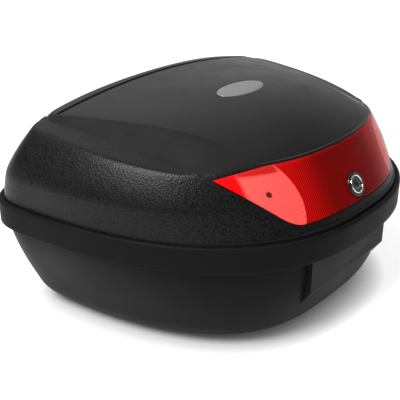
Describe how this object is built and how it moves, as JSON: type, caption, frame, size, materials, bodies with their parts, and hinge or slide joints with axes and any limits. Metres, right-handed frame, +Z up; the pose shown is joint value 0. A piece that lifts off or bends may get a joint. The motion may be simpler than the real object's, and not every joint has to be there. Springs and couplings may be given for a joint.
{
  "type": "motorcycle top case",
  "caption": "Lockable motorcycle top case: grained lid with wrap-round red rear reflector, hinged on a flared tub, clipped to a slotted mounting plate.",
  "frame": {"origin": "on the ground under the middle of the case's footprint box", "axes": "+Z up, -Y to the back of the motorcycle (lock side), +Y to the rider (hinge side), +X across"},
  "size_m": [0.5837, 0.4555, 0.294],
  "materials": {
    "grained_black": "coarse grained black polypropylene",
    "smooth_black": "smooth satin black polypropylene",
    "red_lens": "clear red polycarbonate, polished, prisms on the inner side",
    "tray_plastic": "black moulded tray behind the lens",
    "badge_grey": "plain grey satin plastic, bare",
    "bright_chrome": "polished chrome plate",
    "gloss_black": "glossy black moulding",
    "zinc": "die-cast zinc",
    "steel": "zinc plated steel",
    "seal_rubber": "soft black EPDM",
    "plate_black": "glass-filled black polyamide",
    "red_plastic": "red acetal"
  },
  "bodies": {
    "tub": {"tub_shell": "smooth_black", "lid_keeper": "steel", "keeper_screws": "steel", "tub_hinges": "smooth_black", "hinge_bolts": "steel", "hinge_nuts": "steel", "hinge_pins": "steel", "mounting_plate": "plate_black", "plate_pads": "seal_rubber", "release_cover": "smooth_black", "cover_screws": "steel", "release_springs": "steel"},
    "lid": {"lid_shell": "grained_black", "lid_band": "grained_black", "lid_seal": "seal_rubber", "band_screws": "steel", "reflector_lens": "red_lens", "reflector_tray": "tray_plastic", "lens_screws": "steel", "badge": "badge_grey", "lock_ring": "gloss_black", "lock_bezel": "bright_chrome", "lock_barrel": "zinc", "lock_nut": "zinc", "latch_guide": "smooth_black", "guide_screws": "steel", "lid_hinges": "smooth_black", "hinge_screws": "steel"},
    "key_lock": {"lock_plug": "zinc", "lock_cam": "zinc", "cam_screw": "steel"},
    "latch": {"latch_slider": "steel"},
    "release": {"release_hook": "red_plastic"}
  },
  "joints": [
    {"name": "lid_hinge", "type": "hinge", "parent": "tub", "child": "lid", "pos_m": [0, 0.221, 0.122], "axis": [-1, 0, 0], "range_deg": [0, 75]},
    {"name": "key_turn", "type": "hinge", "parent": "lid", "child": "key_lock", "pos_m": [0, -0.2016, 0.1983], "axis": [0, 0.8741, -0.4857], "range_deg": [0, 90]},
    {"name": "latch_slide", "type": "slide", "parent": "lid", "child": "latch", "axis": [1, 0, 0], "range_m": [0, 0.01]},
    {"name": "release_slide", "type": "slide", "parent": "tub", "child": "release", "axis": [0, -1, 0], "range_m": [0, 0.008], "stiffness_N_per_m": 500, "springref_m": -0.004, "deforming": ["release_springs"]}
  ],
  "couplings": [
    {"joint": "key_turn", "follows": "latch_slide", "rad_per_m": 157.08}
  ]
}
